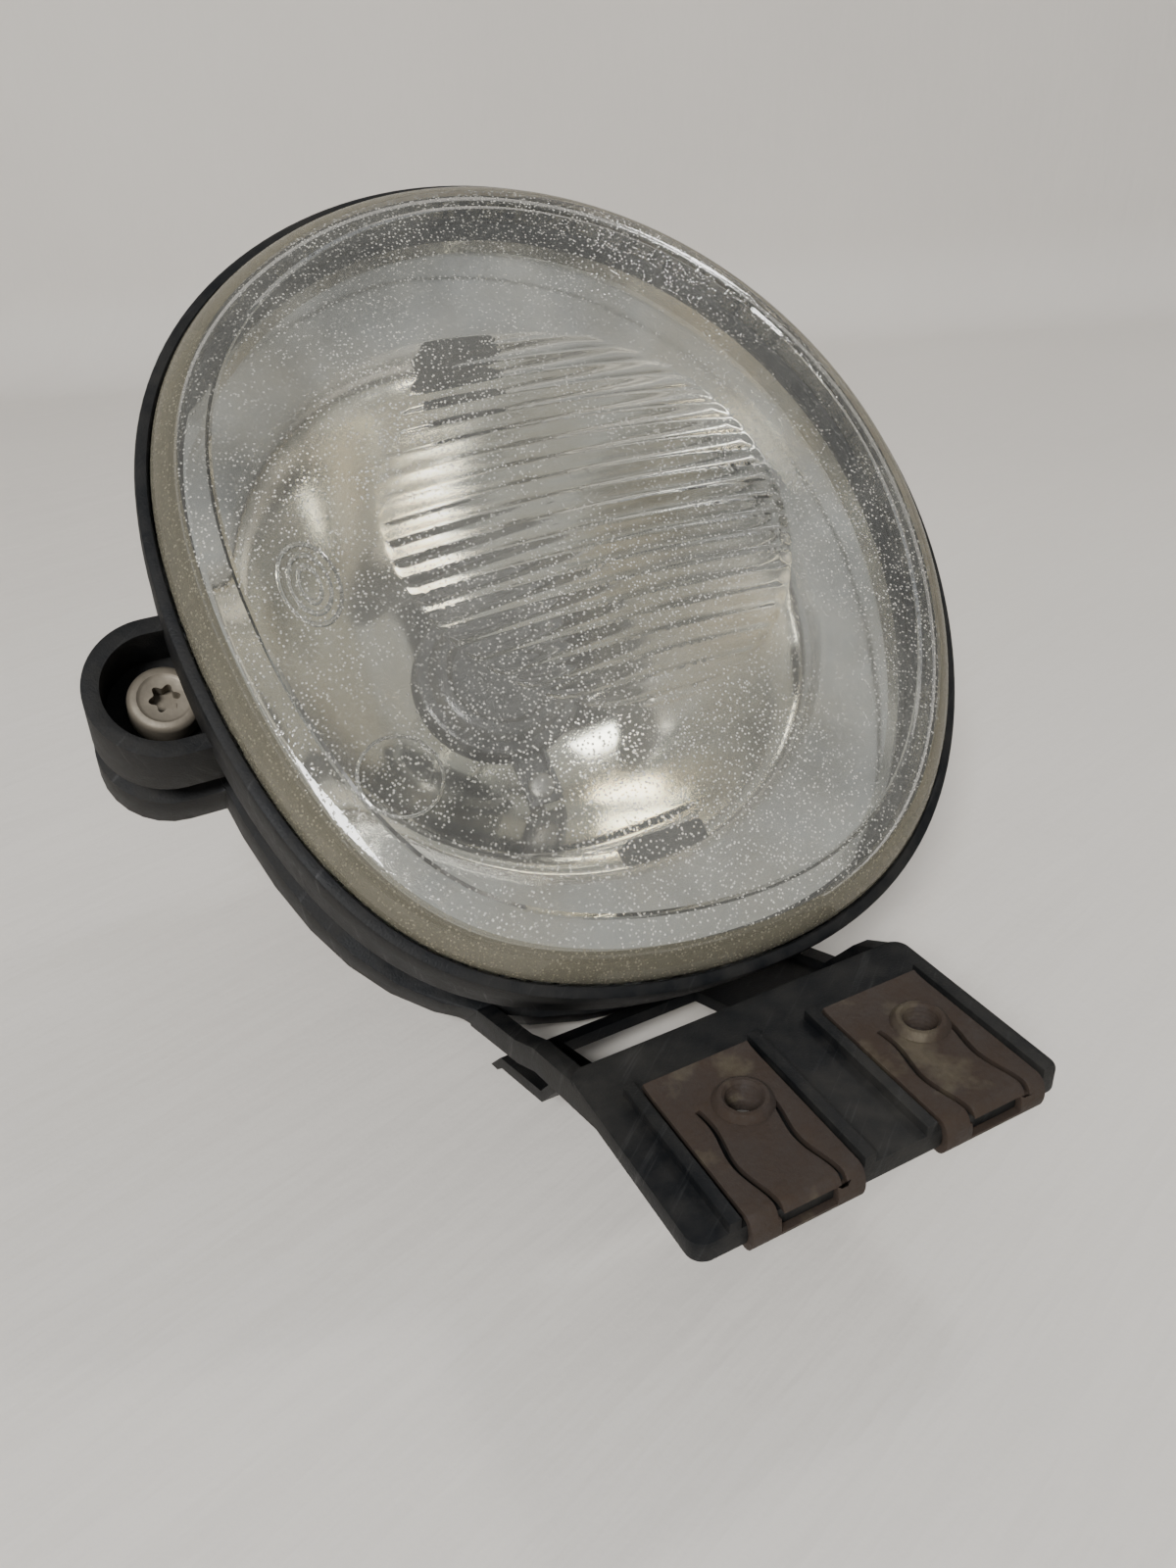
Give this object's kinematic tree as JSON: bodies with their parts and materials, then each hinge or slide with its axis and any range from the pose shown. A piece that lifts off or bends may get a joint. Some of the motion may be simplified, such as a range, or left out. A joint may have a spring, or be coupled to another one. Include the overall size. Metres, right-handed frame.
{
  "type": "fog light",
  "caption": "Egg-shaped glass fog lamp with a silvered reflector, tilting in a black plastic bracket with an aiming screw and a spring-nut mounting plate.",
  "frame": {"origin": "middle of the bracket mounting plate's top face, between the two spring nuts", "axes": "+Z out of the plate's top face, +X along the plate's long edge, -Y towards the plate's free edge, the side the lens looks to"},
  "size_m": [0.1594, 0.1888, 0.1396],
  "materials": {
    "lens_glass": "clear pressed glass, pitted by stones",
    "bulb_glass": "clear quartz",
    "reflector": "vapour-deposited aluminium",
    "black_plastic": "moulded, dusty and scuffed",
    "rubber": "matt",
    "bright_steel": "bright",
    "dark_steel": "darkened by heat",
    "zinc": "dull zinc plating",
    "rusty_steel": "rusted spring steel",
    "brass": "bright",
    "nylon": "natural",
    "blue_insulation": "smooth",
    "brown_insulation": "smooth"
  },
  "bodies": {
    "bracket": {"bracket_frame": "black_plastic", "spring_nut_left": "rusty_steel", "spring_nut_right": "rusty_steel", "pivot_pin_upper": "zinc", "pivot_pin_lower": "zinc"},
    "lamp": {"lens_glass": "lens_glass", "lens_seal": "rubber", "reflector": "reflector", "lamp_housing": "black_plastic", "breather_cap": "rubber", "bulb_base": "bright_steel", "bulb_glass": "bulb_glass", "bulb_filament": "bright_steel", "bulb_contact": "brass", "bulb_clip": "bright_steel", "clip_screw": "zinc", "bulb_shield": "dark_steel", "shield_rivet": "zinc", "connector_socket": "black_plastic", "terminal_supply": "brass", "terminal_earth": "brass", "lead_supply": "blue_insulation", "lead_earth": "brown_insulation", "cap_seal": "rubber", "pivot_bush_upper": "nylon", "pivot_bush_lower": "nylon"},
    "cap": {"rear_cap": "black_plastic"},
    "screw": {"aim_screw": "zinc", "screw_washer": "zinc"},
    "ball_nut": {"adjuster_nut": "nylon"}
  },
  "joints": [
    {"name": "lamp_tilt", "type": "hinge", "parent": "bracket", "child": "lamp", "pos_m": [0.0087, 0.10703, 0.02657], "axis": [0, 0.7314, 0.682], "range_deg": [-3, 3]},
    {"name": "aim_screw_turn", "type": "hinge", "parent": "lamp", "child": "screw", "pos_m": [-0.0653, 0.10177, 0.02781], "axis": [0, -0.682, 0.7314], "range_deg": [-700, 700]},
    {"name": "ball_nut_swivel", "type": "hinge", "parent": "bracket", "child": "ball_nut", "pos_m": [-0.0653, 0.10586, 0.02343], "axis": [0, 0.7314, 0.682], "range_deg": [-9, 9]},
    {"name": "cap_turn", "type": "hinge", "parent": "lamp", "child": "cap", "pos_m": [0.0057, 0.14561, -0.01334], "axis": [0, -0.682, 0.7314], "range_deg": [-40, 0]}
  ],
  "couplings": [
    {"joint": "aim_screw_turn", "follows": "lamp_tilt", "ratio": 232.48},
    {"joint": "ball_nut_swivel", "follows": "lamp_tilt", "ratio": 1}
  ]
}
